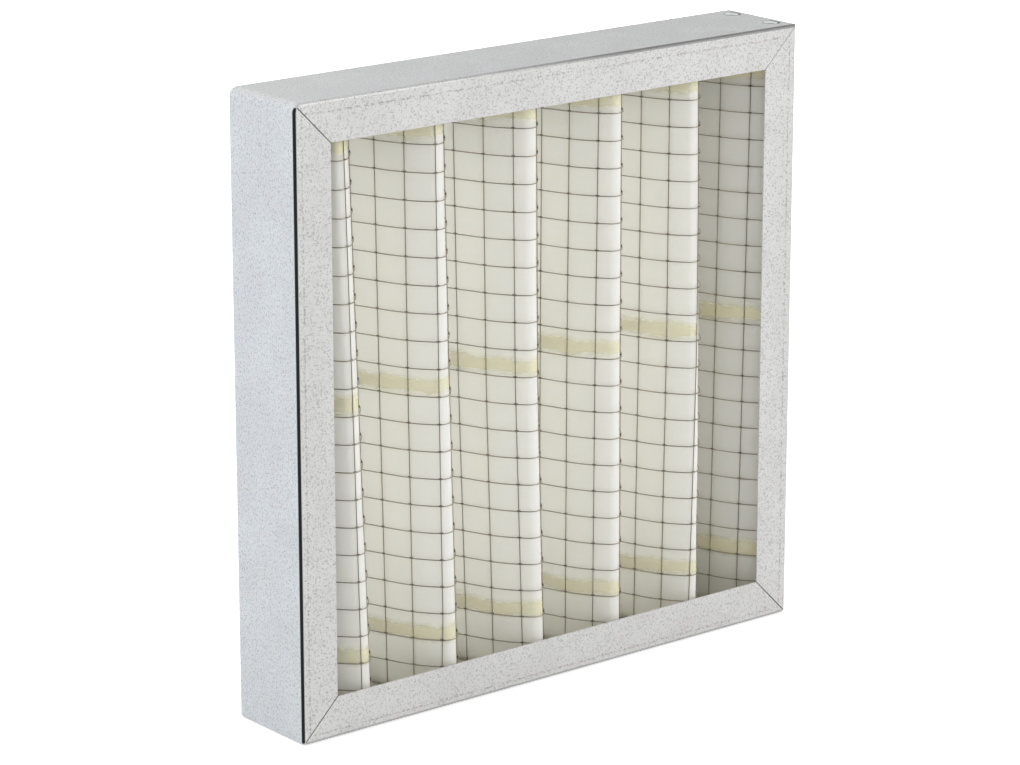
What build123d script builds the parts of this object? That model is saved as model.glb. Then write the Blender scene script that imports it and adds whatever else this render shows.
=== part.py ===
from build123d import *
from math import asin, atan2, cos, degrees, hypot, radians, sin, sqrt, tan
import os

# A pleated panel air filter. It stands on its bottom side, with its pleats upright.
# X runs along the width, Y from the air-leaving front face (-Y) to the back, and Z up.
# The origin is under the middle of the filter, on the surface that it stands on.
# Every size is in millimetres.

# ---- Frame: one strip of galvanised steel, roll-formed into a channel and bent round ----
width = 287.0
height = 287.0
depth = 48.0
sheet = 0.7                 # thickness of the steel
flange = 19.0               # from the outside of the web to the free edge
fold_radius = 1.5           # outside of the fold between web and flange
corner_radius = 1.6         # outside of the web at the two bottom corners
open_corner_radius = 4.0    # outside of the web at the top left corner, bent looser
mitre_gap_top_left = 0.45
mitre_gap_bottom_left = 0.2
mitre_gap_bottom_right = 0.35
mitre_gap_top_right = 0.15
mitre_end = 0.1             # flat left between the end of a mitre and the fold

# ---- Closing lap at the top right corner, with its two blind rivets ----
lap_gap = 0.1               # between the top web and the tab under it
tab_length = 14.0           # of the tab, from the outside of the right web
tab_side_gap = 2.5          # from the outside of the flanges to the tab's edges
tab_bend_radius = 1.5       # outside of the tab's bend
tab_bend_height = 3.0       # of the web that is bent in
rivet_inset = 6.5           # rivet axis from the outside of the right web
rivet_spacing = 27.0
rivet_shank = 3.2
rivet_hole_gap = 0.05       # all round the shank
rivet_head = 6.4
rivet_head_height = 0.9
rivet_bulb = 4.6            # swollen blind end
rivet_bulb_height = 1.9
mandrel_stem = 1.8
mandrel_head = 2.8
mandrel_head_height = 0.7
mandrel_recess = 0.3        # broken end of the stem, below the top of the rivet's head
mandrel_gap = 0.02          # all round the stem

# ---- Filter medium: one sheet of nonwoven, folded in deep pleats ----
medium = 2.8                # thickness of the sheet
fold_count = 12             # folds, alternately at the back and at the front
front_fold_inside_radius = 4.2   # the front folds are rounder than the back ones
back_fold_inside_radius = 2.5
tail = 18.0                 # last leaf at each side, flat along the web
side_seal = 1.95            # adhesive between the last leaf and the web
end_seal = 4.0              # adhesive between the pleats' ends and the web
seal_from_bend = 2.0        # where the side adhesive starts, behind or before the last bend
seal_gap = 0.1              # between adhesive and steel at rounded corners and rivets
pack_gap = 0.1              # between the pack and the flanges, front and back

# ---- Welded wire mesh, pleated with the medium, on its front ----
wire = 0.6
cross_wire_spacing = 12.7
line_wire_spacing = 14.4    # along the pleated mesh
first_cross_wire = 12.9     # lowest cross wire above the medium's lower edge
first_line_wire = 5.6       # first upright wire, along the mesh from the foot of the first pleat
mesh_gap = 0.4              # between the glue lines and the mesh
weld_gap = 0.03             # between the upright wires and the cross wires welded to them
wire_front_facets = 3
wire_back_facets = 1

# ---- Glue lines that hold the mesh to the medium and space the pleats ----
glue_film = 0.25
glue_width = 7.0
glue_front_facets = 3
glue_back_facets = 1
glue_above_lower_edge = 29.3    # middle of the lowest glue line
glue_below_upper_edge = 16.8    # middle of the highest glue line

# ---- Worked out from the sizes above ----
fold_inner_radius = fold_radius - sheet
web_face = width / 2 - sheet                    # inner face of the side webs, from the middle
flange_face = depth / 2 - sheet                 # inner face of the flanges, from the middle
top_web_underside = height - sheet
tab_top = top_web_underside - lap_gap
tab_underside = tab_top - sheet
tab_width = depth - 2 * tab_side_gap
rivet_places = [(width / 2 - rivet_inset, y, height) for y in (-rivet_spacing / 2, rivet_spacing / 2)]
medium_bottom = sheet + end_seal
medium_top = height - sheet - end_seal
medium_height = medium_top - medium_bottom

line_seat = medium / 2 + glue_film + mesh_gap   # back of the upright wires, from mid-sheet
cross_seat = line_seat + wire + weld_gap        # back of the cross wires, from mid-sheet
cross_wire_count = int((medium_height - first_cross_wire - wire / 2) // cross_wire_spacing) + 1

# each bend's radius is at the middle of the sheet, and its centre is seen from above
front_bend = front_fold_inside_radius + medium / 2
back_bend = back_fold_inside_radius + medium / 2
front_bend_y = -flange_face + pack_gap + cross_seat + wire + front_bend
back_bend_y = flange_face - pack_gap - medium / 2 - back_bend
leaf_face = web_face - side_seal - medium / 2   # middle of the last leaf at each side
first_fold_x = back_bend - leaf_face
last_fold_x = leaf_face - front_bend
fold_step = (last_fold_x - first_fold_x) / (fold_count - 1)
bend_run = back_bend_y - front_bend_y
bend_span = hypot(fold_step, bend_run)
# a flank is the inner tangent of two bends, so it is steeper than the line between their centres
flank_angle = atan2(fold_step, bend_run) - asin((front_bend + back_bend) / bend_span)
half_turn = radians(90) - flank_angle
flank_length = sqrt(bend_span**2 - (front_bend + back_bend) ** 2)


def is_front(fold):
    """The odd folds are at the front. The even ones are at the back."""
    return fold % 2 == 1


def bend_centre(fold):
    """Centre of a fold's bend, seen from above."""
    return first_fold_x + fold * fold_step, front_bend_y if is_front(fold) else back_bend_y


def bend_radius(fold, rise):
    """Radius of a bend at a distance in front of mid-sheet, which is inside a fold at the back."""
    return front_bend + rise if is_front(fold) else back_bend - rise


def bend_point(fold, radius, angle):
    """Point round a bend, with its angle from the fold's own crest, positive to the right."""
    x, y = bend_centre(fold)
    crest_side = -1 if is_front(fold) else 1
    return x + radius * sin(angle), y + crest_side * radius * cos(angle)


def pleat_corners(rise):
    """Sharp corners of the pleated line at a distance in front of mid-sheet, with both end leaves."""
    corners = []
    for fold in range(fold_count):
        reach = bend_radius(fold, rise)
        x, y = bend_centre(fold)
        crest_side = -1 if is_front(fold) else 1
        if fold in (0, fold_count - 1):
            outward = -1 if fold == 0 else 1
            past_bend = reach / sin(flank_angle) + reach / tan(flank_angle)
            corner = (x + outward * reach, y + crest_side * past_bend)
            leaf_end = (x + outward * reach, y - crest_side * tail)
            corners += [leaf_end, corner] if fold == 0 else [corner, leaf_end]
        else:
            corners.append((x, y + crest_side * reach / sin(flank_angle)))
    return corners


def pleat_radii(rise):
    """Radius of each bend of the pleated line, from left to right."""
    return [bend_radius(fold, rise) for fold in range(fold_count)]


def faceted_pleat(rise, front_facets, back_facets):
    """Points of the pleated line from the foot of the first pleat to the last crest, in facets."""
    points = [bend_point(0, bend_radius(0, rise), half_turn)]
    for fold in range(1, fold_count):
        radius = bend_radius(fold, rise)
        if is_front(fold):
            # a polygon round the bend, so that it stays in front of the sheet
            step = 2 * half_turn / (front_facets + 1)
            sides = front_facets + 1 if fold < fold_count - 1 else (front_facets + 2) // 2
            angles = [-half_turn + step * (side + 0.5) for side in range(sides)]
            radius = radius / cos(step / 2)
        else:
            # a polygon within the bend
            step = 2 * half_turn / back_facets
            angles = [-half_turn + step * side for side in range(back_facets + 1)]
        points += [bend_point(fold, radius, angle) for angle in angles]
    return points


def line_wire_places():
    """Middle and turn of each upright wire, evenly spaced along the pleated mesh."""
    rise = line_seat + wire / 2
    places = []
    reached = 0.0
    next_wire = first_line_wire
    for fold in range(1, fold_count):
        crest_side = -1 if is_front(fold) else 1
        radius = bend_radius(fold, rise)
        reached += flank_length
        flank_end = Vector(*bend_point(fold, radius, -half_turn))
        along_flank = Vector(sin(flank_angle), crest_side * cos(flank_angle))
        while next_wire < reached:
            middle = flank_end - along_flank * (reached - next_wire)
            places.append(Location((middle.X, middle.Y), -crest_side * degrees(flank_angle)))
            next_wire += line_wire_spacing
        seat = bend_radius(fold, line_seat)
        if not is_front(fold):
            # inside a bend, a square wire touches with its two edges
            seat = sqrt(seat**2 - (wire / 2) ** 2)
        turn = 2 * half_turn if fold < fold_count - 1 else half_turn
        while next_wire < reached + turn * radius - wire:
            angle = (next_wire - reached) / radius - half_turn
            middle = bend_point(fold, seat - crest_side * wire / 2, angle)
            places.append(Location(middle, -crest_side * degrees(angle)))
            next_wire += line_wire_spacing
        reached += 2 * half_turn * radius
    return places


def faceted_band(back_rise, front_rise, front_facets, back_facets):
    """Outline of the band between two faceted pleated lines."""
    back = faceted_pleat(back_rise, front_facets, back_facets)
    front = faceted_pleat(front_rise, front_facets, back_facets)
    return back + front[::-1]


def flat_flange_corner(radius):
    """How far in from both webs the flat of a flange starts, at a corner of this radius."""
    return radius - (radius - fold_radius) * cos(radians(45)) + mitre_end


def channel_block(inset):
    """The space inside the channel's outer surface, less a distance all round."""
    with BuildPart() as block:
        with BuildSketch(Plane.XZ.offset(inset - depth / 2)) as outline:
            with Locations((0, height / 2)):
                Rectangle(width - 2 * inset, height - 2 * inset)
            top_left = outline.vertices().group_by(Axis.X)[0].sort_by(Axis.Y)[-1]
            fillet(top_left, open_corner_radius - inset)
            bottom_corners = outline.vertices().group_by(Axis.Y)[0]
            fillet(bottom_corners, corner_radius - inset)
        extrude(amount=depth - 2 * inset)
        rims = block.edges().group_by(Axis.Y)
        fillet(rims[0] + rims[-1], fold_radius - inset)
    return block.part


# ---- Frame ----
# The channel is what lies between its outer and its inner surface, opened front and back.
with BuildPart() as frame_channel:
    add(channel_block(0))
    add(channel_block(sheet), mode=Mode.SUBTRACT)
    with BuildSketch(Plane.XZ.offset(-depth / 2)):
        with Locations((0, height / 2)):
            Rectangle(width - 2 * flange, height - 2 * flange)
    extrude(amount=depth, mode=Mode.SUBTRACT)

    # the flanges are cut at 45 degrees where the strip is bent round, up to the folds, and through
    # them at the corner where it closes
    mitres = [
        (-1, 1, mitre_gap_top_left, flat_flange_corner(open_corner_radius)),
        (-1, -1, mitre_gap_bottom_left, flat_flange_corner(corner_radius)),
        (1, -1, mitre_gap_bottom_right, flat_flange_corner(corner_radius)),
        (1, 1, mitre_gap_top_right, 0),
    ]
    for face in (depth / 2, fold_radius - depth / 2):
        with BuildSketch(Plane.XZ.offset(face)):
            for side, end, gap, stop in mitres:
                inset = (flange + stop) / 2
                middle = (side * (width / 2 - inset), height / 2 + end * (height / 2 - inset))
                with Locations(Location(middle, side * end * 45)):
                    Rectangle(sqrt(2) * (flange - stop) + gap, gap)
        extrude(amount=-fold_radius, mode=Mode.SUBTRACT)

    # the top web ends over the right web, which is bent in under it as a tab
    with BuildSketch(Plane.XZ.offset(-depth / 2)):
        with Locations(((width / 2 + web_face) / 2, (top_web_underside + tab_top) / 2)):
            Rectangle(sheet, lap_gap)
    extrude(amount=depth, mode=Mode.SUBTRACT)
    with BuildSketch(Plane.XZ.offset(-tab_width / 2)):
        with Locations((width / 2, tab_top)):
            Rectangle(sheet, tab_bend_height, align=(Align.MAX, Align.MAX))
    extrude(amount=tab_width, mode=Mode.SUBTRACT)
    with BuildSketch(Plane.XZ.offset(-tab_width / 2)):
        with BuildLine():
            FilletPolyline(
                (width / 2 - tab_length, tab_top),
                (width / 2, tab_top),
                (width / 2, tab_top - tab_bend_height),
                radius=tab_bend_radius,
            )
            Line((width / 2, tab_top - tab_bend_height), (web_face, tab_top - tab_bend_height))
            FilletPolyline(
                (web_face, tab_top - tab_bend_height),
                (web_face, tab_underside),
                (width / 2 - tab_length, tab_underside),
                radius=tab_bend_radius - sheet,
            )
            Line((width / 2 - tab_length, tab_underside), (width / 2 - tab_length, tab_top))
        make_face()
    extrude(amount=tab_width)
    with Locations(*rivet_places):
        Hole(rivet_shank / 2 + rivet_hole_gap, depth=height - tab_underside + sheet)
frame_channel.part.label = "frame_channel"

# ---- Blind rivets ----
# The head lies on the top web, the shank passes through web and tab, and the swollen end holds the tab.
with BuildPart() as corner_rivets:
    bore = mandrel_stem / 2 + mandrel_gap
    bulb_top = tab_underside - height
    bulb_foot = bulb_top - rivet_bulb_height
    with BuildSketch(Plane(origin=rivet_places[0], x_dir=(1, 0, 0), z_dir=(0, -1, 0))):
        with BuildLine():
            Polyline(
                (bore, rivet_head_height),
                (rivet_head / 2, 0),
                (rivet_shank / 2, 0),
                (rivet_shank / 2, bulb_top),
                (rivet_bulb / 2, bulb_top),
                (mandrel_head / 2, bulb_foot),
                (bore, bulb_foot),
                close=True,
            )
        make_face()
    revolve(axis=Axis(rivet_places[0], (0, 0, 1)))
    mirror(about=Plane.XZ)
corner_rivets.part.label = "corner_rivets"

# The broken stem of the setting mandrel stays in each rivet, with its head below.
with BuildPart() as rivet_mandrels:
    with BuildSketch(Plane(origin=rivet_places[0], x_dir=(1, 0, 0), z_dir=(0, -1, 0))):
        with BuildLine():
            Polyline(
                (0, rivet_head_height - mandrel_recess),
                (mandrel_stem / 2, rivet_head_height - mandrel_recess),
                (mandrel_stem / 2, bulb_foot),
                (mandrel_head / 2, bulb_foot),
                (0, bulb_foot - mandrel_head_height),
                close=True,
            )
        make_face()
    revolve(axis=Axis(rivet_places[0], (0, 0, 1)))
    mirror(about=Plane.XZ)
rivet_mandrels.part.label = "rivet_mandrels"

# ---- Pleated medium ----
with BuildPart() as pleated_media:
    with BuildSketch(Plane.XY.offset(medium_bottom)):
        with BuildLine():
            back = FilletPolyline(*pleat_corners(-medium / 2), radius=pleat_radii(-medium / 2))
            front = FilletPolyline(*pleat_corners(medium / 2), radius=pleat_radii(medium / 2))
            Line(back @ 0, front @ 0)
            Line(back @ 1, front @ 1)
        make_face()
    extrude(amount=medium_height)
pleated_media.part.label = "pleated_media"

# ---- Wire mesh ----
# Each cross wire is a square band that follows the pleats.
with BuildPart() as mesh_cross_wires:
    for row in range(cross_wire_count):
        wire_middle = medium_bottom + first_cross_wire + row * cross_wire_spacing
        with BuildSketch(Plane.XY.offset(wire_middle - wire / 2)):
            outline = faceted_band(
                cross_seat, cross_seat + wire, wire_front_facets, wire_back_facets
            )
            Polygon(*outline, align=None)
        extrude(amount=wire)
mesh_cross_wires.part.label = "mesh_cross_wires"

# The upright wires lie between the glue lines and the cross wires, parallel to the folds.
with BuildPart() as mesh_line_wires:
    with BuildSketch(Plane.XY.offset(medium_bottom)):
        with Locations(*line_wire_places()):
            Rectangle(wire, wire)
    extrude(amount=medium_height)
mesh_line_wires.part.label = "mesh_line_wires"

# ---- Glue lines ----
lowest_glue = medium_bottom + glue_above_lower_edge
highest_glue = medium_top - glue_below_upper_edge
glue_heights = {
    "glue_line_top": highest_glue,
    "glue_line_middle": (lowest_glue + highest_glue) / 2,
    "glue_line_bottom": lowest_glue,
}
glue_lines = []
for name, middle in glue_heights.items():
    with BuildPart() as glue_line:
        with BuildSketch(Plane.XY.offset(middle - glue_width / 2)):
            outline = faceted_band(
                medium / 2, medium / 2 + glue_film, glue_front_facets, glue_back_facets
            )
            Polygon(*outline, align=None)
        extrude(amount=glue_width)
    glue_line.part.label = name
    glue_lines.append(glue_line)

# ---- Seals ----
# Beads of adhesive in the channel, under, over and beside the pack.
seal_depth = depth - 2 * fold_radius
with BuildPart() as seal_bottom:
    with BuildSketch(Plane.XZ.offset(-seal_depth / 2)) as bead:
        with Locations((0, sheet)):
            Rectangle(2 * web_face, end_seal, align=(Align.CENTER, Align.MIN))
        fillet(bead.vertices().group_by(Axis.Y)[0], corner_radius - sheet + seal_gap)
    extrude(amount=seal_depth)
seal_bottom.part.label = "seal_bottom"

with BuildPart() as seal_top:
    with BuildSketch(Plane.XZ.offset(-seal_depth / 2)) as bead:
        with Locations((0, top_web_underside)):
            Rectangle(2 * web_face, end_seal, align=(Align.CENTER, Align.MAX))
        # lower under the tab, and clear of its bend
        with Locations((web_face, top_web_underside)):
            Rectangle(
                tab_length - sheet + seal_gap,
                top_web_underside - tab_underside,
                align=(Align.MAX, Align.MAX),
                mode=Mode.SUBTRACT,
            )
        top_left = bead.vertices().group_by(Axis.X)[0].sort_by(Axis.Y)[-1]
        fillet(top_left, open_corner_radius - sheet + seal_gap)
        top_right = bead.vertices().group_by(Axis.X)[-1].sort_by(Axis.Y)[-1]
        fillet(top_right, tab_bend_radius - sheet + seal_gap)
    extrude(amount=seal_depth)
    # a slot takes the blind ends of the rivets
    with BuildSketch(Plane.XY.offset(bulb_foot + height - mandrel_head_height - seal_gap)):
        with Locations((rivet_places[0][0], 0)):
            slot_width = rivet_bulb + 2 * seal_gap
            Rectangle(slot_width, rivet_spacing + slot_width)
    extrude(until=Until.LAST, mode=Mode.SUBTRACT)
seal_top.part.label = "seal_top"

side_seal_length = tail - seal_from_bend
with BuildPart() as seal_left:
    with BuildSketch(Plane.XY.offset(medium_bottom)):
        with Locations((-web_face, back_bend_y - tail)):
            Rectangle(side_seal, side_seal_length, align=(Align.MIN, Align.MIN))
    extrude(amount=medium_height)
seal_left.part.label = "seal_left"

with BuildPart() as seal_right:
    with BuildSketch(Plane.XY.offset(medium_bottom)):
        with Locations((web_face, front_bend_y + tail)):
            Rectangle(side_seal, side_seal_length, align=(Align.MAX, Align.MAX))
    extrude(amount=medium_height)
seal_right.part.label = "seal_right"

os.makedirs("parts", exist_ok=True)
pieces = [frame_channel, corner_rivets, rivet_mandrels, pleated_media, mesh_cross_wires]
pieces += [mesh_line_wires, *glue_lines, seal_bottom, seal_top, seal_left, seal_right]
for piece in pieces:
    export_step(piece.part, f"parts/{piece.part.label}.step")
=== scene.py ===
"""Looks of a pleated panel air filter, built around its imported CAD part. Lengths are in metres."""

import math

import bpy
import numpy as np
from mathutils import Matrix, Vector, noise


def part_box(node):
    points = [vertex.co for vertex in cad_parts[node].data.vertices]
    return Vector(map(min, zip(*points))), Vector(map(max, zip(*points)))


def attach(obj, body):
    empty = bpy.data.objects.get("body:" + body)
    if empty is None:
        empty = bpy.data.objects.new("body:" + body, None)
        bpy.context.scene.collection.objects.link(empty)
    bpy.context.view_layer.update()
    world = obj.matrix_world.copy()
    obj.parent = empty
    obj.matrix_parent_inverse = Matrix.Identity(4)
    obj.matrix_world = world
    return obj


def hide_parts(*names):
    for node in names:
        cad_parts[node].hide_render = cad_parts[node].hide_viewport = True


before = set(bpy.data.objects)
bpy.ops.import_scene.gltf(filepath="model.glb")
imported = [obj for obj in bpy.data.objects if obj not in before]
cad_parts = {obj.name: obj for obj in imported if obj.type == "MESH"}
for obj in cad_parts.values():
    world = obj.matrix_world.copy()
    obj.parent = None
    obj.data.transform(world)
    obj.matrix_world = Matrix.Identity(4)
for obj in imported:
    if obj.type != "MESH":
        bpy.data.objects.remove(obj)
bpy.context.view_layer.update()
scene = bpy.context.scene
scene.view_settings.view_transform = "Standard"

# ---- Studio ----
# A long lens looks at the mesh side from the left and a little from above. The filter stands on a
# pale floor, in plain light from a white room.
camera_place = (-1.0998, -1.3507, 0.6296)
camera_dip, camera_turn = 15.85, 38.96          # degrees, down and to the right
camera_data = bpy.data.cameras.new("camera")
camera_data.sensor_width = 36
camera_data.lens = 140.3
camera = bpy.data.objects.new("camera", camera_data)
camera.location = camera_place
camera.rotation_euler = (math.radians(90 - camera_dip), 0, math.radians(-camera_turn))
scene.collection.objects.link(camera)
scene.camera = camera


def new_material(name):
    """A new material, its node tree and its Principled shader."""
    material = bpy.data.materials.new(name)
    material.use_nodes = True
    tree = material.node_tree
    return material, tree, tree.nodes["Principled BSDF"]


def node(tree, kind, inputs=None, **settings):
    """Adds a node to a tree, sets it, and links or fills its inputs."""
    made = tree.nodes.new(kind)
    for name, value in settings.items():
        setattr(made, name, value)
    for key, value in (inputs or {}).items():
        if isinstance(value, bpy.types.NodeSocket):
            tree.links.new(value, made.inputs[key])
        else:
            made.inputs[key].default_value = value
    return made


def calc(tree, operation, *values):
    """The outcome of one step of arithmetic on sockets or numbers."""
    return node(tree, "ShaderNodeMath", dict(enumerate(values)), operation=operation).outputs[0]


def blend_colours(tree, share, first, second):
    """The mix of two colours, given as sockets or as three numbers."""
    full = [v if isinstance(v, bpy.types.NodeSocket) else (*v, 1) for v in (first, second)]
    return node(tree, "ShaderNodeMix", {0: share, 6: full[0], 7: full[1]}, data_type="RGBA").outputs[2]


def ramp(tree, value, start, end, low=0.0, high=1.0):
    """A smooth step of a value between two limits."""
    return node(tree, "ShaderNodeMapRange", {"Value": value, "From Min": start, "From Max": end,
                                             "To Min": low, "To Max": high},
                interpolation_type="SMOOTHSTEP").outputs[0]


def facing(tree, direction, towards):
    """How far a direction points towards a bearing, as the cosine of the angle between them."""
    return node(tree, "ShaderNodeVectorMath", {0: direction, 1: Vector(towards).normalized()},
                operation="DOT_PRODUCT").outputs["Value"]


# The room is white to the eye and gives an even light. What the steel mirrors is white too, apart
# from four patches: each one's bearing, the cosines where it starts and is full, its share at its
# fullest, and its colour.
room_light = (0.52, 0.52, 0.52)
mirrored_white = (0.88, 0.88, 0.87)
cool_window = ((-0.62, 0.78, -0.2), 0.55, 0.9, 1.0, (0.80, 0.88, 0.97))
dark_wall = ((0.80, 0.55, 0.20), 0.88, 0.965, 1.0, (0.02, 0.02, 0.02))
dark_gap_overhead = ((0.60, -0.27, 0.75), 0.88, 0.97, 0.6, (0.05, 0.05, 0.05))
dark_side = ((-0.84, -0.54, -0.05), 0.40, 0.60, 1.0, (0.03, 0.03, 0.03))
world = bpy.data.worlds.new("room")
scene.world = world
world.use_nodes = True
room = world.node_tree
bearing = node(room, "ShaderNodeTexCoord").outputs["Generated"]
mirrored = mirrored_white
for towards, start, full, share, tone in (cool_window, dark_wall, dark_gap_overhead, dark_side):
    patch = ramp(room, facing(room, bearing, towards), start, full, 0.0, share)
    mirrored = blend_colours(room, patch, mirrored, tone)
path = node(room, "ShaderNodeLightPath").outputs
room_colour = blend_colours(room, path["Is Glossy Ray"], room_light, mirrored)
seen = calc(room, "MAXIMUM", path["Is Camera Ray"], path["Is Transmission Ray"])
room_colour = blend_colours(room, seen, room_colour, (1, 1, 1))
room.links.new(room_colour, room.nodes["Background"].inputs["Color"])
room.nodes["Background"].inputs["Strength"].default_value = 1

filter_middle = (0, 0, 0.14)


def area_lamp(name, location, size, watts, colour=(1, 1, 1)):
    """A square soft box that faces the middle of the filter."""
    data = bpy.data.lights.new(name, "AREA")
    data.size = size
    data.energy = watts
    data.color = colour
    lamp = bpy.data.objects.new(name, data)
    lamp.location = location
    lamp.rotation_euler = (Vector(filter_middle) - Vector(location)).to_track_quat("-Z", "Y").to_euler()
    scene.collection.objects.link(lamp)
    return lamp


area_lamp("front_lamp", (1.8, -1.9, 1.2), 1.6, 25)
left_lamp = area_lamp("left_lamp", (-0.95, 0.3, 0.9), 0.6, 5.8, (0.84, 0.92, 1))
back_lamp = area_lamp("back_lamp", (2.0, 1.15, 0.9), 1.4, 35, (0.95, 0.96, 1))
back_fill = area_lamp("back_fill", (-0.1, 1.9, 0.7), 1.2, 8, (0.97, 0.98, 1))
for lamp in (left_lamp, back_lamp, back_fill):
    lamp.visible_glossy = False


def mesh_object(name, vertices, faces, material, smooth=True):
    """A mesh piece with one material."""
    mesh = bpy.data.meshes.new(name)
    mesh.from_pydata([tuple(map(float, v)) for v in vertices], [], faces)
    mesh.polygons.foreach_set("use_smooth", [smooth] * len(mesh.polygons))
    mesh.materials.append(material)
    mesh.validate()
    made = bpy.data.objects.new(name, mesh)
    scene.collection.objects.link(made)
    return made


floor_reach, floor_drop = 12, 0.0002
floor_glow = 0.5                                # what the floor adds to its own light, to the eye only
floor_material, tree, shader = new_material("pale_floor")
shader.inputs["Base Color"].default_value = (0.9, 0.9, 0.9, 1)
shader.inputs["Roughness"].default_value = 0.9
shader.inputs["Specular IOR Level"].default_value = 0
shader.inputs["Emission Color"].default_value = (1, 1, 1, 1)
looked_at = node(tree, "ShaderNodeLightPath").outputs["Is Camera Ray"]
tree.links.new(calc(tree, "MULTIPLY", looked_at, floor_glow), shader.inputs["Emission Strength"])
floor_corners = [(x * floor_reach, y * floor_reach, 0) for x, y in ((-1, -1), (1, -1), (1, 1), (-1, 1))]
floor = mesh_object("floor", floor_corners, [(0, 1, 2, 3)], floor_material, smooth=False)
floor.location.z = -floor_drop
floor.visible_glossy = False

# ---- Frame ----
# One strip of hot-dip galvanised steel, roll-formed into a channel. Its zinc shows as a fine dark
# speckle on pale grey, and the bending dies have left dotted lines beside the folds.
half_size, half_depth = (round(size, 4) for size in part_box("frame_channel")[1][:2])
fold_radius, fold_fade = 0.0015, 0.0002         # of the steel's folds, and of their burnish
face_skin = 0.0002                              # what counts as lying in a flange's face
flange_tone_depth = 0.0016                      # how deep the flanges' tone reaches
burnish_stop, burnish_gone = 0.0020, 0.0014     # below the top corners
left_line, right_line = 0.0036, 0.0041          # from the webs to the dotted lines
bottom_line, top_line = 0.0033, 0.0050
line_wander = 0.0006
line_core, line_rim = 0.0001, 0.0007            # half widths of the dotted lines, full and faded out
seam_core, seam_rim = 0.0002, 0.0005            # and of the mitre seams
bottom_fold_shade, top_fold_shade = 0.4, 0.85               # how dark the painted reflection is on the bottom and top folds
speck_size = 0.0007
rivet_x, rivet_y = 0.137, 0.0135                # one rivet at each sign of y
rivet_shadow_inner, rivet_shadow_outer = 0.0036, 0.0046       # of the painted shadow round each rivet, as radii


def new_group(name, inputs, outputs):
    """An empty node group with number sockets and, where the name says so, a vector."""
    group = bpy.data.node_groups.new(name, "ShaderNodeTree")
    for names, side in ((inputs, "INPUT"), (outputs, "OUTPUT")):
        for socket in names:
            kind = "NodeSocketVector" if socket == "Vector" else "NodeSocketFloat"
            group.interface.new_socket(socket, in_out=side, socket_type=kind)
    return group, node(group, "NodeGroupInput").outputs, node(group, "NodeGroupOutput").inputs


def either(tree, test, without, within):
    """One number where a mask is 0 and another where it is 1."""
    return node(tree, "ShaderNodeMix", {0: test, 2: without, 3: within}).outputs[0]


def zinc_speckle_group():
    """The zinc coat: dark specks drawn out along two ways, its fine grain, and the drift of its tone."""
    group, inside, outside = new_group("zinc_speckle", ("Vector", "Speck Size"),
                                       ("Specks", "Grain", "Drift"))
    scale = calc(group, "DIVIDE", 1.0, inside["Speck Size"])
    drawn = []
    for stretch in ((0.55, 1, 1), (1, 1, 0.5)):
        way = node(group, "ShaderNodeVectorMath", {0: inside["Vector"], 1: stretch}, operation="MULTIPLY")
        specks = node(group, "ShaderNodeTexNoise", {"Vector": way.outputs[0], "Scale": scale,
                                                    "Detail": 2.5, "Roughness": 0.6})
        drawn.append(ramp(group, specks.outputs["Fac"], 0.55, 0.68))
    fine = node(group, "ShaderNodeTexNoise", {"Vector": inside["Vector"],
                                              "Scale": calc(group, "MULTIPLY", scale, 1.9), "Detail": 2})
    wide = node(group, "ShaderNodeTexNoise", {"Vector": inside["Vector"], "Scale": 45.0, "Detail": 4})
    group.links.new(calc(group, "MAXIMUM", *drawn), outside["Specks"])
    group.links.new(fine.outputs["Fac"], outside["Grain"])
    group.links.new(wide.outputs["Fac"], outside["Drift"])
    return group


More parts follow.
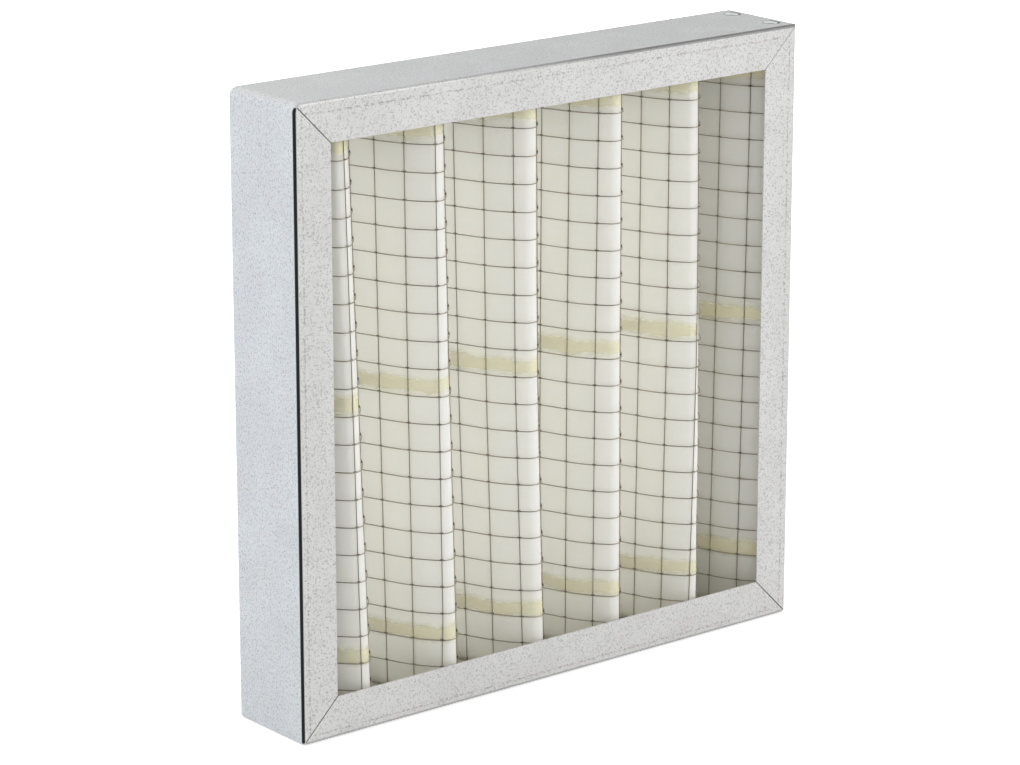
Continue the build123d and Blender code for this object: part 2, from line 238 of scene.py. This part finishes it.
def rolled_edge_group():
    """Where the strip was formed: its side folds, a painted dark reflection along its top and bottom folds,
    the dotted lines left by the dies, the mitre seams at the corners, and the flanges themselves."""
    group, inside, outside = new_group("rolled_edge", ("Vector",),
                                       ("Fold", "Painted Dark Fold", "Die Line", "Seam", "Flange"))
    parts = node(group, "ShaderNodeSeparateXYZ", {0: inside["Vector"]}).outputs
    height = calc(group, "SUBTRACT", parts["Z"], half_size)
    on_right = calc(group, "GREATER_THAN", parts["X"], 0.0)
    on_top = calc(group, "GREATER_THAN", height, 0.0)
    from_side = calc(group, "SUBTRACT", half_size, calc(group, "ABSOLUTE", parts["X"]))
    from_end = calc(group, "SUBTRACT", half_size, calc(group, "ABSOLUTE", height))
    from_web = calc(group, "MINIMUM", from_side, from_end)
    from_face = calc(group, "SUBTRACT", half_depth, calc(group, "ABSOLUTE", parts["Y"]))
    is_end = calc(group, "LESS_THAN", from_end, from_side)
    in_face = calc(group, "LESS_THAN", from_face, face_skin)
    group.links.new(ramp(group, from_face, flange_tone_depth, face_skin), outside["Flange"])

    # the side folds are burnished, up to the top corners
    inner = calc(group, "MAXIMUM", from_web, from_face)
    fold = ramp(group, inner, fold_radius, fold_radius - fold_fade)
    at_side = calc(group, "MULTIPLY", calc(group, "LESS_THAN", from_side, fold_radius),
                   ramp(group, height, half_size - burnish_gone, half_size - burnish_stop))
    group.links.new(calc(group, "MULTIPLY", fold, at_side), outside["Fold"])

    # a dark reflection is painted along the top fold, growing towards the lap at the right, and along the
    # whole bottom fold
    shade_towards_right = calc(group, "MINIMUM", ramp(group, parts["X"], -0.11, 0.10, 0.15, 1.0), top_fold_shade)
    fold_shade = calc(group, "MULTIPLY", is_end, either(group, on_top, bottom_fold_shade, shade_towards_right))
    group.links.new(calc(group, "MULTIPLY", fold, fold_shade), outside["Painted Dark Fold"])

    # each side has its dotted line at a distance of its own
    line = either(group, is_end, either(group, on_right, left_line, right_line),
                  either(group, on_top, bottom_line, top_line))
    sway = node(group, "ShaderNodeTexNoise", {"Vector": inside["Vector"], "Scale": 40.0}).outputs["Fac"]
    line = calc(group, "MULTIPLY_ADD", sway, line_wander, line)
    off_line = calc(group, "ABSOLUTE", calc(group, "SUBTRACT", from_web, line))
    dashes = node(group, "ShaderNodeTexNoise", {"Vector": inside["Vector"], "Scale": 800.0,
                                                "Detail": 2}).outputs["Fac"]
    mark = calc(group, "MULTIPLY", ramp(group, off_line, line_rim, line_core),
                ramp(group, dashes, 0.46, 0.58))
    group.links.new(calc(group, "MULTIPLY", mark, in_face), outside["Die Line"])

    # the mitre seams are dark, and faint at the lapped corner
    off_seam = calc(group, "ABSOLUTE", calc(group, "SUBTRACT", from_side, from_end))
    seam = calc(group, "MULTIPLY", ramp(group, off_seam, seam_rim, seam_core), in_face)
    strength = either(group, calc(group, "MULTIPLY", on_right, on_top), 1.0, 0.3)
    group.links.new(calc(group, "MULTIPLY", seam, strength), outside["Seam"])
    return group


def dress(name, material):
    """Gives a piece of the frame its material."""
    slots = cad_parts[name].data.materials
    slots.clear()
    slots.append(material)


steel, tree, shader = new_material("galvanised_steel")
place = node(tree, "ShaderNodeTexCoord").outputs["Object"]
zinc = node(tree, "ShaderNodeGroup", {"Vector": place, "Speck Size": speck_size},
            node_tree=zinc_speckle_group()).outputs
edge = node(tree, "ShaderNodeGroup", {"Vector": place}, node_tree=rolled_edge_group()).outputs
speck_strength = ramp(tree, edge["Flange"], 0.0, 1.0, 0.75, 0.62)

# a shadow is painted round the rivet heads, darkest on the side of the fold
parts = node(tree, "ShaderNodeSeparateXYZ", {0: place}).outputs
past_rivet = calc(tree, "SUBTRACT", parts["X"], rivet_x)
beside_rivet = calc(tree, "SUBTRACT", calc(tree, "ABSOLUTE", parts["Y"]), rivet_y)
from_rivet = calc(tree, "SQRT", calc(tree, "MULTIPLY_ADD", past_rivet, past_rivet,
                                     calc(tree, "MULTIPLY", beside_rivet, beside_rivet)))
rivet_shadow = calc(tree, "MULTIPLY", calc(tree, "GREATER_THAN", parts["Z"], 2 * half_size - face_skin),
             calc(tree, "MULTIPLY", ramp(tree, from_rivet, rivet_shadow_outer, rivet_shadow_inner),
                  ramp(tree, past_rivet, -0.003, 0.0025, 0.25, 0.95)))

# pale grey, and what lies over it in turn: the mask and the colour of each
colour = (0.80, 0.795, 0.785)
for mask, tone in (
        (ramp(tree, zinc["Grain"], 0.35, 0.65), (0.73, 0.725, 0.715)),
        (ramp(tree, zinc["Drift"], 0.4, 0.65, 0.0, 0.5), (0.84, 0.84, 0.83)),
        (calc(tree, "MULTIPLY", zinc["Specks"], speck_strength), (0.34, 0.33, 0.33)),
        (calc(tree, "MULTIPLY", edge["Die Line"], 0.5), (0.24, 0.21, 0.18)),
        # painted dark reflection along the top and bottom folds
        (calc(tree, "MULTIPLY", edge["Painted Dark Fold"], 0.85), (0.07, 0.07, 0.07)),
        (calc(tree, "MULTIPLY", edge["Seam"], 0.85), (0.04, 0.04, 0.04)),
        # painted shadow round the rivet heads
        (rivet_shadow, (0.05, 0.05, 0.05)),
        (edge["Fold"], (0.70, 0.70, 0.70))):
    colour = blend_colours(tree, mask, colour, tone)
tree.links.new(colour, shader.inputs["Base Color"])
tree.links.new(ramp(tree, edge["Fold"], 0.0, 1.0, 0.3, 1.0), shader.inputs["Metallic"])
tree.links.new(ramp(tree, edge["Fold"], 0.0, 1.0, 0.42, 0.14), shader.inputs["Roughness"])
bump = node(tree, "ShaderNodeBump", {"Height": zinc["Grain"], "Strength": 0.12, "Distance": 0.0001})
tree.links.new(bump.outputs[0], shader.inputs["Normal"])
dress("frame_channel", steel)

# ---- Rivets ----
# Two aluminium blind rivets close the lap at the top right corner. The broken steel mandrel stays
# in each bore.


def mottle_group():
    """A fine uneven tone between two values, for scuffs, tarnish and pores."""
    group, inside, outside = new_group("mottle", ("Vector", "Scale", "Low", "High"), ("Tone",))
    spots = node(group, "ShaderNodeTexNoise", {"Vector": inside["Vector"], "Scale": inside["Scale"]})
    tone = node(group, "ShaderNodeMapRange", {"Value": spots.outputs["Fac"], "To Min": inside["Low"],
                                              "To Max": inside["High"]})
    group.links.new(tone.outputs[0], outside["Tone"])
    return group


mottle = mottle_group()


def mottled(tree, scale, low=0.0, high=1.0):
    """The mottle in a material, at its own scale and between its own values."""
    place = node(tree, "ShaderNodeTexCoord").outputs["Object"]
    return node(tree, "ShaderNodeGroup", {"Vector": place, "Scale": scale, "Low": low, "High": high},
                node_tree=mottle).outputs["Tone"]


def scuffed_metal(name, colour, scale, smoothest, roughest):
    """Bare metal whose polish is uneven."""
    material, tree, shader = new_material(name)
    shader.inputs["Base Color"].default_value = (*colour, 1)
    shader.inputs["Metallic"].default_value = 1
    tree.links.new(mottled(tree, scale, smoothest, roughest), shader.inputs["Roughness"])
    return material


rivet_metal = scuffed_metal("rivet_aluminium", (0.90, 0.91, 0.92), 900.0, 0.25, 0.5)
dress("corner_rivets", rivet_metal)

# The upset rim of each head stands over its low cone, in a rounded step round the bore: radii and
# heights over the web, from the outside in.
rim = ((0.00320, 0.00000), (0.00330, 0.00012), (0.00320, 0.00034), (0.00270, 0.00056), (0.00215, 0.00068),
       (0.00185, 0.00072), (0.00165, 0.00084), (0.00140, 0.00089), (0.00112, 0.00088), (0.00098, 0.00080))
rim_sides = 40
vertices, faces = [], []
for side in (-1, 1):
    start = len(vertices)
    vertices += [(rivet_x + r * math.cos(a), side * rivet_y + r * math.sin(a), 2 * half_size + h)
                 for r, h in rim for a in np.arange(rim_sides) * 2 * math.pi / rim_sides]
    faces += [(start + k * rim_sides + i, start + k * rim_sides + (i + 1) % rim_sides,
               start + (k + 1) * rim_sides + (i + 1) % rim_sides, start + (k + 1) * rim_sides + i)
              for k in range(len(rim) - 1) for i in range(rim_sides)]
rivet_heads = mesh_object("rivet_heads", vertices, faces, rivet_metal)
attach(rivet_heads, "root")

dress("rivet_mandrels", scuffed_metal("mandrel_steel", (0.35, 0.35, 0.36), 1500.0, 0.3, 0.6))

# ---- Filter medium ----
# One sheet of soft off-white nonwoven, folded in deep pleats. It bows out before each front crest,
# and the crests lean a little, because the pleats are spaced by hand.
sheet_thickness = 0.0028
medium_bottom, medium_top = (round(corner.z, 4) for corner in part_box("pleated_media"))
front_crest, back_crest = -0.01992, 0.0218      # middle of the sheet
tip_radius, tip_turn = 0.0032, math.radians(46)
shoulder_radius = 0.050
back_radius = 0.0039
half_pitch = 0.0245                             # from a front crest to the next back fold
tail_length = 0.018
side_leaf = 0.13945                             # middle of the leaves along the side webs
ripple_height, ripple_size = 0.00035, 0.035
tip_points, shoulder_points, leaf_points, bend_points, tail_points = 6, 9, 7, 8, 6
sheet_rows = 64
fold_heights = (medium_bottom, half_size, medium_top)
# where each fold stands at those three heights, from left to right, back and front in turn
fold_places = (
    (-0.1355, -0.1355, -0.1355),
    (-0.1066, -0.1126, -0.1186),
    (-0.0838, -0.0870, -0.0892),
    (-0.0578, -0.0623, -0.0662),
    (-0.0345, -0.0370, -0.0385),
    (-0.0068, -0.0117, -0.0130),
    (0.0140, 0.0128, 0.0121),
    (0.0383, 0.0373, 0.0372),
    (0.0618, 0.0612, 0.0604),
    (0.0860, 0.0856, 0.0828),
    (0.1091, 0.1090, 0.1080),
    (0.1325, 0.1325, 0.1325),
)
fold_total = len(fold_places)


def fold_x(fold, z):
    """Where a fold stands at a height."""
    return float(np.interp(z, fold_heights, fold_places[fold]))


def half_pleat():
    """The middle of the sheet from a front crest to the next back fold: a tight tip, a wide shoulder, a
    flat leaf and the back bend. Each point is a share of the way across, and a depth."""
    tip = (0.0, front_crest + tip_radius)
    hub = (-(shoulder_radius - tip_radius) * math.sin(tip_turn),
           tip[1] + (shoulder_radius - tip_radius) * math.cos(tip_turn))
    back = (half_pitch, back_crest - back_radius)
    across, deep = back[0] - hub[0], back[1] - hub[1]
    lean = math.acos((shoulder_radius + back_radius) / math.hypot(across, deep)) - math.atan2(deep, across)
    leaf_turn = math.pi / 2 - lean
    points = [(tip[0] + tip_radius * math.sin(a), tip[1] - tip_radius * math.cos(a))
              for a in np.linspace(0, tip_turn, tip_points)]
    points += [(hub[0] + shoulder_radius * math.sin(a), hub[1] - shoulder_radius * math.cos(a))
               for a in np.linspace(tip_turn, leaf_turn, shoulder_points)[1:]]
    arriving = (back[0] - back_radius * math.cos(lean), back[1] + back_radius * math.sin(lean))
    points += [tuple(point) for point in np.linspace(points[-1], arriving, leaf_points)[1:]]
    points += [(back[0] - back_radius * math.sin(a), back[1] + back_radius * math.cos(a))
               for a in np.linspace(leaf_turn, 0, bend_points)[1:]]
    return np.array([(x / half_pitch, y) for x, y in points])


half_line = half_pleat()


def end_leaf(fold):
    """The flat leaf along a side web and the quarter bend to its fold, from the leaf's free end."""
    left = fold == 0
    radius = back_radius if left else abs(side_leaf - fold_places[-1][1])
    outward = -1 if left else 1
    crest_side = 1 if left else -1
    crest = back_crest if left else front_crest
    centre_x, centre_y = outward * (side_leaf - radius), crest - crest_side * radius
    points = [(outward * side_leaf, centre_y - crest_side * tail_length * t)
              for t in np.linspace(1, 0, tail_points)]
    points += [(centre_x + outward * radius * math.cos(a), centre_y + crest_side * radius * math.sin(a))
               for a in np.linspace(0, math.pi / 2, bend_points)[1:]]
    return points


def sheet_line(z):
    """The middle of the folded sheet at a height, from its left to its right end, seen from above."""
    points = end_leaf(0)[:-1]
    for fold in range(fold_total - 1):
        here, there = fold_x(fold, z), fold_x(fold + 1, z)
        if fold % 2:
            leaf = [(here + (there - here) * u, y) for u, y in half_line]
        else:
            leaf = [(there + (here - there) * u, y) for u, y in half_line[::-1]]
        points += leaf if fold == 0 else leaf[1:]
    points += end_leaf(fold_total - 1)[::-1][1:]
    return np.array(points)


def line_lengths(line):
    """How far along the sheet each point of its line is."""
    return np.concatenate([[0], np.cumsum(np.linalg.norm(np.diff(line, axis=0), axis=1))])


def normals_of(line):
    """Unit normals of a line seen from above, towards the mesh side."""
    along = np.gradient(line, axis=0)
    normal = np.stack([along[:, 1], -along[:, 0]], axis=1)
    return normal / np.linalg.norm(normal, axis=1)[:, None]


def ripple(s, z):
    """The smooth uneven height of the soft sheet, at a length along it and a height."""
    return ripple_height * noise.noise(Vector((s / ripple_size, z / ripple_size, 3.0)))


def folded_sheet(back_lift, front_lift, heights):
    """Vertices and faces of the folded sheet between two lifts from its middle, closed all round."""
    vertices, rows = [], []
    for z in heights:
        line = sheet_line(z)
        normal = normals_of(line)
        uneven = np.array([ripple(s, z) for s in line_lengths(line)])
        front = line + normal * (front_lift + uneven)[:, None]
        back = line + normal * (back_lift + uneven)[:, None]
        ring = np.concatenate([front, back[::-1]])
        rows.append(len(vertices))
        vertices += [(x, y, z) for x, y in ring]
    count = len(vertices) // len(heights)
    faces = [(a + i, a + (i + 1) % count, b + (i + 1) % count, b + i)
             for a, b in zip(rows, rows[1:]) for i in range(count)]
    half = count // 2
    for start, flip in ((rows[0], True), (rows[-1], False)):
        for i in range(half - 1):
            quad = (start + i, start + i + 1, start + count - 2 - i, start + count - 1 - i)
            faces.append(quad[::-1] if flip else quad)
    return vertices, faces


nonwoven, tree, shader = new_material("nonwoven")
place = node(tree, "ShaderNodeTexCoord").outputs["Object"]
strands = []
for stretch in ((1400, 1400, 260), (260, 260, 1400)):
    drawn = node(tree, "ShaderNodeVectorMath", {0: place, 1: stretch}, operation="MULTIPLY").outputs[0]
    strands.append(node(tree, "ShaderNodeTexNoise", {"Vector": drawn, "Scale": 1.0, "Detail": 3,
                                                     "Roughness": 0.6}).outputs["Fac"])
fibres = calc(tree, "MAXIMUM", *strands)
clouds = node(tree, "ShaderNodeTexNoise", {"Vector": place, "Scale": 90.0, "Detail": 3,
                                           "Roughness": 0.6}).outputs["Fac"]
density = calc(tree, "MULTIPLY_ADD", ramp(tree, fibres, 0.42, 0.72), 0.4, calc(tree, "MULTIPLY", clouds, 0.6))
tree.links.new(blend_colours(tree, density, (0.93, 0.905, 0.79), (0.965, 0.945, 0.87)),
               shader.inputs["Base Color"])
shader.inputs["Roughness"].default_value = 0.9
shader.inputs["Specular IOR Level"].default_value = 0.1
shader.inputs["Subsurface Weight"].default_value = 1.0
shader.inputs["Subsurface Scale"].default_value = 0.008
shader.inputs["Subsurface Radius"].default_value = (1.0, 1.0, 1.0)
bump = node(tree, "ShaderNodeBump", {"Height": fibres, "Strength": 0.3, "Distance": 0.0004})
tree.links.new(bump.outputs[0], shader.inputs["Normal"])

media_heights = np.linspace(medium_bottom, medium_top, sheet_rows)
media = mesh_object("media_sheet",
                    *folded_sheet(-sheet_thickness / 2, sheet_thickness / 2, media_heights), nonwoven)
flat_length = float(line_lengths(sheet_line(half_size))[-1])
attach(media, "root")
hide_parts("pleated_media")

# ---- Wire mesh ----
# A welded grid of thin galvanised wire, pleated with the sheet, on its front. The upright wires lie
# on the sheet, and each cross wire passes in front of them.
wire_radius = 0.00024
wire_sides, wire_rows = 6, 24
wire_gap = 0.00015                              # between the sheet and the upright wires
line_lift = sheet_thickness / 2 + wire_gap + wire_radius
cross_lift = line_lift + 2 * wire_radius
first_cross_height, cross_spacing, cross_count = 0.0176, 0.0127, 21
cross_heights = [first_cross_height + cross_spacing * row for row in range(cross_count)]
first_fold_row = len(end_leaf(0)) - 1           # of the points of the sheet's line
row_points = len(half_line) - 1                 # from one fold to the next
rows_left_bare = 7                              # past the first fold, before the mesh starts
mesh_start, mesh_end = first_fold_row + rows_left_bare, 1 - len(end_leaf(fold_total - 1))
# The upright wires stand straighter than the pleats: distances along the sheet before or past the
# front crest of each pleat, near the top and near the bottom.
wires_by_fold = {
    1: ((0.0134, -0.0012), (0.0145, 0.0013)),
    3: ((0.0283, 0.0136, 0.0008), (0.0301, 0.0164, 0.0033)),
    5: ((0.0357, 0.0206, 0.0070, -0.0076), (0.0345, 0.0207, 0.0071, -0.0060)),
    7: ((0.0352, 0.0210, 0.0076, -0.0076), (0.0368, 0.0228, 0.0095, -0.0040)),
    9: ((0.0242, 0.0105, -0.0021), (0.0274, 0.0137, 0.0013)),
    11: ((0.0244, 0.0100), (0.0266, 0.0125)),
}
near_top, near_bottom = 0.245, 0.027            # the heights where those distances hold
spacing_sought = 0.014                          # of the wires that the pleats hide
wires_before_first = 3


def tube(path, radius, sides):
    """Vertices and faces of a round wire along a path, closed at both ends."""
    path = np.array(path)
    along = np.gradient(path, axis=0)
    along /= np.linalg.norm(along, axis=1)[:, None]
    vertices, faces = [], []
    up = np.array([0, 0, 1.0]) if abs(along[0][2]) < 0.7 else np.array([0, 1.0, 0])
    for point, way in zip(path, along):
        side = np.cross(way, up)
        side /= np.linalg.norm(side)
        top = np.cross(side, way)
        vertices += [tuple(point + radius * (math.cos(a) * side + math.sin(a) * top))
                     for a in np.arange(sides) * 2 * math.pi / sides]
    for row in range(len(path) - 1):
        a, b = row * sides, (row + 1) * sides
        faces += [(a + i, a + (i + 1) % sides, b + (i + 1) % sides, b + i) for i in range(sides)]
    last = (len(path) - 1) * sides
    faces.append(tuple(range(sides))[::-1])
    faces.append(tuple(last + i for i in range(sides)))
    return vertices, faces


def gather(pieces):
    """Several lists of vertices and faces as one."""
    vertices, faces = [], []
    for some, quads in pieces:
        start = len(vertices)
        vertices += some
        faces += [tuple(start + i for i in face) for face in quads]
    return vertices, faces


wire_metal, tree, shader = new_material("galvanised_wire")
tree.links.new(blend_colours(tree, mottled(tree, 500.0), (0.34, 0.29, 0.22), (0.52, 0.46, 0.37)),
               shader.inputs["Base Color"])
shader.inputs["Metallic"].default_value = 0.9
shader.inputs["Roughness"].default_value = 0.35

cross_tubes = []
for z in cross_heights:
    line = sheet_line(z)
    path = (line + normals_of(line) * cross_lift)[mesh_start:mesh_end]
    cross_tubes.append(tube([(x, y, z) for x, y in path], wire_radius, wire_sides))
cross_wires = mesh_object("cross_wires", *gather(cross_tubes), wire_metal)
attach(cross_wires, "root")
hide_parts("mesh_cross_wires")


def upright_wire_rows(height, distances):
    """Where the upright wires stand at a height, as rows of the sheet's line. The distances are those
    of the wires at each front crest, and the hidden wires between them are evenly spaced."""
    line = sheet_line(height)
    reached = line_lengths(line)
    shown = [[reached[first_fold_row + fold * row_points] - distance for distance in group]
             for fold, group in zip(wires_by_fold, distances)]
    spots = [shown[0][0] - spacing_sought * k for k in range(wires_before_first, 0, -1)]
    for here, following in zip(shown, shown[1:] + [None]):
        spots += here
        if following:
            gaps = round((following[0] - here[-1]) / spacing_sought)
            spots += list(np.linspace(here[-1], following[0], gaps + 1)[1:-1])
    return np.interp(spots, reached, np.arange(len(line)))


top_distances, bottom_distances = zip(*wires_by_fold.values())
rows_near_top = upright_wire_rows(near_top, top_distances)
rows_near_bottom = upright_wire_rows(near_bottom, bottom_distances)


def wire_rows_at(z):
    """The rows of the sheet's line where the upright wires stand at a height."""
    share = (z - near_bottom) / (near_top - near_bottom)
    return rows_near_bottom + (rows_near_top - rows_near_bottom) * share


def place_on(line, lift, row):
    """The point at a row of the sheet's line, lifted off the sheet."""
    lifted = line + normals_of(line) * lift
    steps = np.arange(len(line))
    return np.interp(row, steps, lifted[:, 0]), np.interp(row, steps, lifted[:, 1])


line_heights = np.linspace(medium_bottom, medium_top, wire_rows)
at_heights = [(z, sheet_line(z), wire_rows_at(z)) for z in line_heights]
line_tubes = [tube([(*place_on(line, line_lift, rows[wire]), z) for z, line, rows in at_heights],
                   wire_radius, wire_sides) for wire in range(len(rows_near_top))]
line_wires = mesh_object("line_wires", *gather(line_tubes), wire_metal)
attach(line_wires, "root")
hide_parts("mesh_line_wires")

# ---- Spot welds ----
# Where a cross wire passes an upright one, the two have been pressed together hot. Their steel has
# flowed into a small flattened bead, drawn out along the cross wire and darkened.
weld_length, weld_height, weld_depth = 0.0026, 0.0009, 0.0008
weld_rings, weld_sides = 4, 6
weld_sight = 0.3                                # rows to each side that give the weld's direction
weld_metal, tree, shader = new_material("weld_metal")
shader.inputs["Base Color"].default_value = (0.035, 0.03, 0.025, 1)
shader.inputs["Metallic"].default_value = 0.2
shader.inputs["Roughness"].default_value = 0.55


def weld(centre, along):
    """Vertices and faces of one flattened weld, drawn out along the cross wire."""
    out = np.array([along[1], -along[0]])
    vertices = [(*(centre[:2] - along * weld_length / 2), centre[2])]
    for ring in range(1, weld_rings):
        a = math.pi * ring / weld_rings
        reach, girth = -math.cos(a) * weld_length / 2, math.sin(a)
        for step in range(weld_sides):
            b = 2 * math.pi * step / weld_sides
            spot = centre[:2] + along * reach + out * girth * math.cos(b) * weld_depth / 2
            vertices.append((*spot, centre[2] + girth * math.sin(b) * weld_height / 2))
    vertices.append((*(centre[:2] + along * weld_length / 2), centre[2]))
    faces = [(0, 1 + (i + 1) % weld_sides, 1 + i) for i in range(weld_sides)]
    for ring in range(weld_rings - 2):
        a, b = 1 + ring * weld_sides, 1 + (ring + 1) * weld_sides
        faces += [(a + i, a + (i + 1) % weld_sides, b + (i + 1) % weld_sides, b + i)
                  for i in range(weld_sides)]
    last = len(vertices) - 1
    faces += [(last, last - weld_sides + i, last - weld_sides + (i + 1) % weld_sides)
              for i in range(weld_sides)]
    return vertices, faces


welds = []
for z in cross_heights:
    line = sheet_line(z)
    for row in wire_rows_at(z):
        before, after = (np.array(place_on(line, cross_lift - wire_radius, row + step))
                         for step in (-weld_sight, weld_sight))
        along = (after - before) / np.linalg.norm(after - before)
        welds.append(weld(np.array([*(before + after) / 2, z]), along))
weld_spots = mesh_object("weld_spots", *gather(welds), weld_metal)
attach(weld_spots, "root")

# ---- Glue lines ----
# Three runs of pale yellow hot-melt glue across the pleats, under the mesh. They hold the mesh and
# keep the pleats apart.
glue_cover = 0.46                               # how much of the sheet's colour the glue hides
glue_sink, glue_rise = 0.0003, 0.0001           # below and above the sheet's face
glue_reach = 0.003                              # of the band past the glue's full height
glue_wander = 0.006
glue_fade_below = 0.0018                        # to each side of the glue's lower edge
glue_fade_above = (0.0016, 0.0024)              # over and under its upper edge
glue_rows = 9


def smeared_glue(name, low, high):
    """Glue that is pressed into the sheet: full between two heights, and fading out above and below."""
    material, tree, shader = new_material(name)
    place = node(tree, "ShaderNodeTexCoord").outputs["Object"]
    clouds = node(tree, "ShaderNodeTexNoise", {"Vector": place, "Scale": 70.0, "Detail": 3}).outputs["Fac"]
    height = node(tree, "ShaderNodeSeparateXYZ", {0: place}).outputs["Z"]
    height = calc(tree, "MULTIPLY_ADD", clouds, glue_wander,
                  calc(tree, "SUBTRACT", height, glue_wander / 2))
    body = calc(tree, "MULTIPLY", ramp(tree, height, low - glue_fade_below, low + glue_fade_below),
                ramp(tree, height, high + glue_fade_above[0], high - glue_fade_above[1]))
    tree.links.new(blend_colours(tree, clouds, (1.0, 0.95, 0.62), (1.0, 0.92, 0.53)),
                   shader.inputs["Base Color"])
    tree.links.new(calc(tree, "MULTIPLY", body, glue_cover), shader.inputs["Alpha"])
    shader.inputs["Roughness"].default_value = 0.6
    shader.inputs["Specular IOR Level"].default_value = 0.3
    return material


for name in ("glue_line_top", "glue_line_middle", "glue_line_bottom"):
    low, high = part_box(name)
    levels = np.linspace(low.z - glue_reach, high.z + glue_reach, glue_rows)
    vertices, faces = folded_sheet(sheet_thickness / 2 - glue_sink, sheet_thickness / 2 + glue_rise, levels)
    band = mesh_object(name.replace("line", "band"), vertices, faces,
                       smeared_glue(name.replace("line", "smear"), low.z, high.z))
    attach(band, "root")
    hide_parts(name)

# ---- Seals ----
# Beads of off-white foamed adhesive in the channel, round the ends and sides of the pack. They hold
# the pack and stop air that would pass round it.
seal_foam, tree, shader = new_material("seal_adhesive")
tree.links.new(blend_colours(tree, mottled(tree, 700.0), (0.80, 0.78, 0.66), (0.88, 0.87, 0.80)),
               shader.inputs["Base Color"])
shader.inputs["Roughness"].default_value = 0.8
for name in ("seal_bottom", "seal_top", "seal_left", "seal_right"):
    dress(name, seal_foam)
